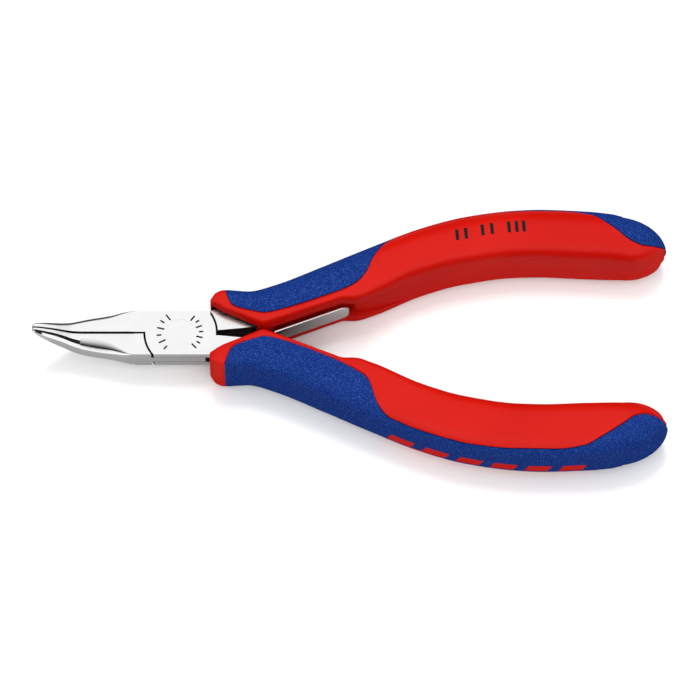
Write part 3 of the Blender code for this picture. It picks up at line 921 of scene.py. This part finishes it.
def surface_patch(side, x_range, turn_of, slant, proud, sunk):
    """A thin closed patch on a grip's surface; turn_of gives its two turns at a section."""
    grids = []
    for inset in (-proud, sunk):
        rows = []
        for x in spaced(*x_range, PATCH_PITCH):
            row = []
            low, high = turn_of(grip_section(x, side))
            for k in range(PATCH_STEPS + 1):
                share = k / PATCH_STEPS
                place = x + slant * (share - 0.5)
                turn = low + (high - low) * share
                y, z = on_section(grip_section(place, side), turn, inset, 1)
                row.append((place, side * y, z))
            rows.append(row)
        grids.append(rows)
    upper, lower = grids
    rings = [up + down[::-1] for up, down in zip(upper, lower)]
    return skin(rings)


def make_top_bars():
    """Short black bars printed on top of the right grip."""
    patches = []
    reach = TOP_BAR_LENGTH / 2
    for x, y in TOP_BARS:
        def turn_of(section, y=y):
            return turn_at_y(section, y + reach), turn_at_y(section, y - reach)

        ends = (x - TOP_BAR_WIDTH / 2, x + TOP_BAR_WIDTH / 2)
        patches.append(surface_patch(1, ends, turn_of, TOP_BAR_LEAN, INK_THICK, INK_SUNK))
    ink = piece("grip_bars", lean(joined(patches)), INK)
    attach(ink, INNER_BODY)


def make_inlays():
    """Plain red bars moulded into the outer side of each sleeve."""
    for label, side, body in HANDLES:
        patches = []
        for x in spaced(INLAY_FIRST, INLAY_LAST, INLAY_PITCH):
            ends = (x - INLAY_LENGTH / 2, x + INLAY_LENGTH / 2)
            patches.append(surface_patch(
                side, ends, lambda section: INLAY_TURNS, INLAY_LEAN, INLAY_PROUD, INLAY_SUNK))
        inlay = piece(label + "_inlay", lean(joined(patches)), RED)
        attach(inlay, body)


# ------------------------------------------------------------------ springs


def leaf_ring(s, side):
    """Section of a leaf, which stands on edge, at s from its front end; the rear end is rounded."""
    (x0, y0), (x1, y1) = SPRING_FRONT, SPRING_REAR
    ahead_x, ahead_y = (x1 - x0) / SPRING_LENGTH, (y1 - y0) / SPRING_LENGTH
    over = max(0.0, s - SPRING_LENGTH + SPRING_END_ROUND)
    end_round = math.sqrt(max(0.0, SPRING_END_ROUND**2 - over**2))
    half = SPRING_WIDTH / 2 - SPRING_END_ROUND + end_round
    thick = SPRING_THICK / 2
    corners = [(-thick, -half), (thick, -half), (thick, half), (-thick, half)]
    ring = []
    for out, up in rounded(corners, [SPRING_EDGE] * 4, [3] * 4):
        x = x0 + ahead_x * s - ahead_y * out
        y = y0 + ahead_y * s + ahead_x * out
        ring.append((x, side * y, (HEAD_LOW + HEAD_HIGH) / 2 + up))
    return ring


def make_springs():
    """Two leaves, each built in short lengths."""
    round_from = SPRING_LENGTH - SPRING_END_ROUND
    places = spaced(0, round_from, 0.4)
    places += [round_from + SPRING_END_ROUND * math.sin(math.radians(a)) for a in range(8, 90, 8)]
    for label, side, body in HANDLES:
        leaf = piece(label + "_leaf", lean(skin([leaf_ring(s, side) for s in places])), SPRING)
        # Faces that look straight up keep the polished steel, and the rest take the spring steel with
        # its painted shade.
        leaf.data.materials.append(POLISHED)
        for face in leaf.data.polygons:
            face.material_index = int(face.normal.z > 0.8)
        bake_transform(leaf)
        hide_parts(label + "_spring")


# ------------------------------------------------------------------ stage


def make_floor():
    bpy.ops.mesh.primitive_plane_add(size=6.0, location=(0, 0, GRIP_LOW * MM - 0.0001))
    floor = bpy.context.object
    floor.name = "floor"
    made = Nodes("pale_floor")
    made.fix({"Roughness": 0.6})
    made.feed("Base Color", made.ramp(made.noise(3), [(0.3, grey(0.9)), (0.7, grey(0.92))]))
    floor.data.materials.append(made.material)


def area_light(name, place, size, power, target=(0.03, 0, 0)):
    """A soft light that shines on the object but isn't mirrored in it."""
    light = bpy.data.lights.new(name, "AREA")
    light.energy = power
    light.shape = "RECTANGLE"
    light.size, light.size_y = size
    thing = bpy.data.objects.new(name, light)
    bpy.context.scene.collection.objects.link(thing)
    thing.location = place
    thing.rotation_euler = (Vector(target) - Vector(place)).to_track_quat("-Z", "Y").to_euler()
    thing.visible_glossy = False


def make_sky():
    """The bright band, by the angle between its aim and the direction without its X part."""
    world = bpy.data.worlds.new("studio")
    bpy.context.scene.world = world
    world.use_nodes = True
    tree = world.node_tree
    place = tree.nodes.new("ShaderNodeTexCoord")
    across = tree.nodes.new("ShaderNodeVectorMath")
    across.operation = "MULTIPLY"
    across.inputs[1].default_value = (0, 1, 1)
    unit = tree.nodes.new("ShaderNodeVectorMath")
    unit.operation = "NORMALIZE"
    aim = tree.nodes.new("ShaderNodeVectorMath")
    aim.operation = "DOT_PRODUCT"
    aim.inputs[1].default_value = Vector(SKY_AIM).normalized() / 2
    lift = tree.nodes.new("ShaderNodeMath")
    lift.operation = "ADD"
    lift.inputs[1].default_value = 0.5
    ramp = tree.nodes.new("ShaderNodeValToRGB")
    set_stops(ramp.color_ramp, [(position, grey(value)) for position, value in SKY_STOPS])
    background = tree.nodes["Background"]
    background.inputs["Strength"].default_value = SKY_STRENGTH
    for source, target in (
        (place.outputs["Generated"], across.inputs[0]),
        (across.outputs["Vector"], unit.inputs[0]),
        (unit.outputs["Vector"], aim.inputs[0]),
        (aim.outputs["Value"], lift.inputs[0]),
        (lift.outputs["Value"], ramp.inputs["Fac"]),
        (ramp.outputs["Color"], background.inputs["Color"]),
    ):
        tree.links.new(source, target)


def make_light():
    make_sky()
    area_light("key", (0.03, 0.42, 1.05), (0.35, 0.35), 6.4)
    area_light("fill", (0.03, -0.55, 0.9), (0.9, 0.9), 2.4)


def make_camera():
    camera = bpy.data.cameras.new("camera")
    camera.lens = CAMERA_LENS
    camera.sensor_width = 36.0
    thing = bpy.data.objects.new("camera", camera)
    bpy.context.scene.collection.objects.link(thing)
    tilt = math.radians(CAMERA_ELEVATION)
    back = Vector((0, -math.cos(tilt), math.sin(tilt)))
    thing.location = (Vector(LOOK_AT) + back * CAMERA_DISTANCE) * MM
    thing.rotation_euler = (-back).to_track_quat("-Z", "Y").to_euler()
    bpy.context.scene.camera = thing


bpy.context.scene.view_settings.view_transform = "Standard"
make_camera()
make_floor()
make_light()
make_halves()
make_pin()
make_grips()
make_head_marks()
make_top_bars()
make_inlays()
make_springs()
